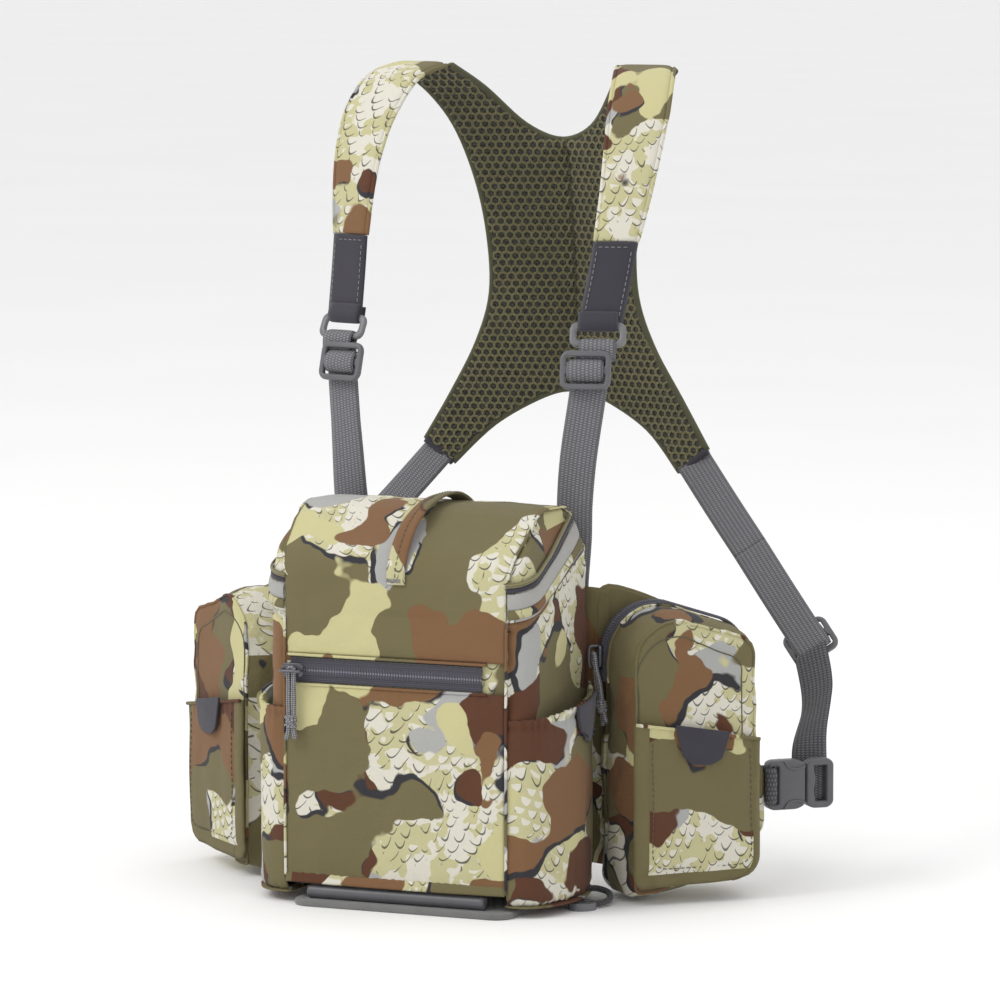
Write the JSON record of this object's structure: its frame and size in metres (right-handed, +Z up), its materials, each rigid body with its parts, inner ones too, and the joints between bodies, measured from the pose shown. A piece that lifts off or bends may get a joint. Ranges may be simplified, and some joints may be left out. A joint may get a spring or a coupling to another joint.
{
  "type": "binocular harness pack",
  "caption": "Lidded chest pouch for binoculars with zip pocket, folding side pouches, mesh-backed shoulder harness and adjustable buckled webbing.",
  "frame": {"origin": "centre of the pack's base, on the ground", "axes": "+Z up, -Y out of the pack's front panel, +X to the right seen from the front"},
  "size_m": [0.3604, 0.268, 0.4355],
  "materials": {
    "camo_fabric": "matte brushed polyester printed in camouflage",
    "charcoal_fabric": "matte charcoal fabric",
    "olive_elastic": "matte elastic binding",
    "spacer_mesh": "open hexagonal spacer mesh",
    "webbing": "ribbed polyester webbing",
    "cord": "braided cord",
    "tab": "smooth rubberised fabric",
    "zip": "coil zip and coated tape",
    "hardware": "satin moulded acetal",
    "magnet": "plated",
    "stiffener": "polyethylene sheet"
  },
  "bodies": {
    "pack": {"body_shell": "camo_fabric", "body_liner": "charcoal_fabric", "base_board": "stiffener", "back_pad": "charcoal_fabric", "front_pocket": "camo_fabric", "front_zip_tape": "zip", "front_zip_coil": "zip", "left_side_pocket": "camo_fabric", "right_side_pocket": "camo_fabric", "pocket_tabs": "tab", "base_strap": "webbing", "base_tube": "hardware", "base_cords": "cord", "accessory_disc": "hardware", "body_magnets": "magnet", "left_front_webbing": "webbing", "right_front_webbing": "webbing"},
    "lid": {"lid_shell": "camo_fabric", "lid_board": "stiffener", "lid_pull_loop": "camo_fabric", "lid_magnets": "magnet"},
    "front_slider": {"front_zip_slider": "hardware"},
    "front_pull": {"front_zip_pull": "cord"},
    "harness": {"yoke": "spacer_mesh", "left_shoulder_strap": "camo_fabric", "right_shoulder_strap": "camo_fabric", "left_strap_tab": "tab", "right_strap_tab": "tab", "left_strap_ring": "hardware", "right_strap_ring": "hardware", "left_rear_webbing": "webbing", "right_rear_webbing": "webbing"},
    "left_front_glide": {"left_front_glide": "hardware"},
    "right_front_glide": {"right_front_glide": "hardware"},
    "left_side_wing": {"left_wing": "charcoal_fabric", "left_pouch_back": "camo_fabric", "left_pouch_front": "camo_fabric", "left_slip_pocket": "camo_fabric", "left_slip_tab": "tab", "left_pouch_zip": "zip", "left_buckle_socket": "hardware", "left_socket_strap": "webbing", "left_side_strap": "webbing"},
    "left_slider": {"left_pouch_slider": "hardware"},
    "left_pull": {"left_pouch_pull": "cord"},
    "left_side_glide": {"left_side_glide": "hardware"},
    "left_plug": {"left_buckle_plug": "hardware"},
    "right_side_wing": {"right_wing": "charcoal_fabric", "right_pouch_back": "camo_fabric", "right_pouch_front": "camo_fabric", "right_slip_pocket": "camo_fabric", "right_slip_tab": "tab", "right_pouch_zip": "zip", "right_buckle_socket": "hardware", "right_socket_strap": "webbing", "right_side_strap": "webbing"},
    "right_slider": {"right_pouch_slider": "hardware"},
    "right_pull": {"right_pouch_pull": "cord"},
    "right_side_glide": {"right_side_glide": "hardware"},
    "right_plug": {"right_buckle_plug": "hardware"}
  },
  "joints": [
    {"name": "lid_hinge", "type": "hinge", "parent": "pack", "child": "lid", "pos_m": [0, -0.046, 0.155], "axis": [1, 0, 0], "range_deg": [0, 110]},
    {"name": "front_zip_slide", "type": "slide", "parent": "pack", "child": "front_slider", "axis": [1, 0, 0], "range_m": [0, 0.096]},
    {"name": "front_pull_swing", "type": "hinge", "parent": "front_slider", "child": "front_pull", "pos_m": [-0.0565, -0.0521, 0.1245], "axis": [0, 1, 0], "range_deg": [-50, 50]},
    {"name": "harness_tilt", "type": "hinge", "parent": "pack", "child": "harness", "pos_m": [0, 0.0485, 0.185], "axis": [1, 0, 0], "range_deg": [-15, 6], "deforming": ["left_front_webbing", "right_front_webbing", "left_rear_webbing", "right_rear_webbing"]},
    {"name": "left_front_glide_slide", "type": "slide", "parent": "harness", "child": "left_front_glide", "axis": [0.0914, -0.1235, -0.9881], "range_m": [0, 0.04]},
    {"name": "left_wing_fold", "type": "hinge", "parent": "pack", "child": "left_side_wing", "pos_m": [-0.074, 0.045, 0.085], "axis": [0, 0, -1], "range_deg": [0, 20]},
    {"name": "left_pouch_zip_run", "type": "hinge", "parent": "left_side_wing", "child": "left_slider", "pos_m": [-0.10583, 0.05412, 0.128], "axis": [-0.6561, -0.7547, 0], "range_deg": [0, 30]},
    {"name": "left_pouch_pull_swing", "type": "hinge", "parent": "left_slider", "child": "left_pull", "pos_m": [-0.08077, 0.03233, 0.128], "axis": [-0.7547, 0.6561, 0], "range_deg": [0, 75]},
    {"name": "left_buckle_release", "type": "slide", "parent": "left_side_wing", "child": "left_plug", "axis": [-0.7547, 0.6561, 0], "range_m": [0, 0.022], "deforming": ["left_side_strap"]},
    {"name": "left_side_glide_slide", "type": "slide", "parent": "left_side_wing", "child": "left_side_glide", "axis": [-0.2625, -0.2953, -0.9187], "range_m": [0, 0.02]},
    {"name": "right_front_glide_slide", "type": "slide", "parent": "harness", "child": "right_front_glide", "axis": [-0.0914, -0.1235, -0.9881], "range_m": [0, 0.04]},
    {"name": "right_wing_fold", "type": "hinge", "parent": "pack", "child": "right_side_wing", "pos_m": [0.074, 0.045, 0.085], "axis": [0, 0, 1], "range_deg": [0, 20]},
    {"name": "right_pouch_zip_run", "type": "hinge", "parent": "right_side_wing", "child": "right_slider", "pos_m": [0.10583, 0.05412, 0.128], "axis": [-0.6561, 0.7547, 0], "range_deg": [0, 30]},
    {"name": "right_pouch_pull_swing", "type": "hinge", "parent": "right_slider", "child": "right_pull", "pos_m": [0.08077, 0.03233, 0.128], "axis": [-0.7547, -0.6561, 0], "range_deg": [0, 75]},
    {"name": "right_buckle_release", "type": "slide", "parent": "right_side_wing", "child": "right_plug", "axis": [0.7547, 0.6561, 0], "range_m": [0, 0.022], "deforming": ["right_side_strap"]},
    {"name": "right_side_glide_slide", "type": "slide", "parent": "right_side_wing", "child": "right_side_glide", "axis": [0.2625, -0.2953, -0.9187], "range_m": [0, 0.02]}
  ],
  "couplings": [
    {"joint": "left_pouch_pull_swing", "follows": "left_pouch_zip_run", "ratio": 2.5},
    {"joint": "right_pouch_pull_swing", "follows": "right_pouch_zip_run", "ratio": 2.5}
  ]
}
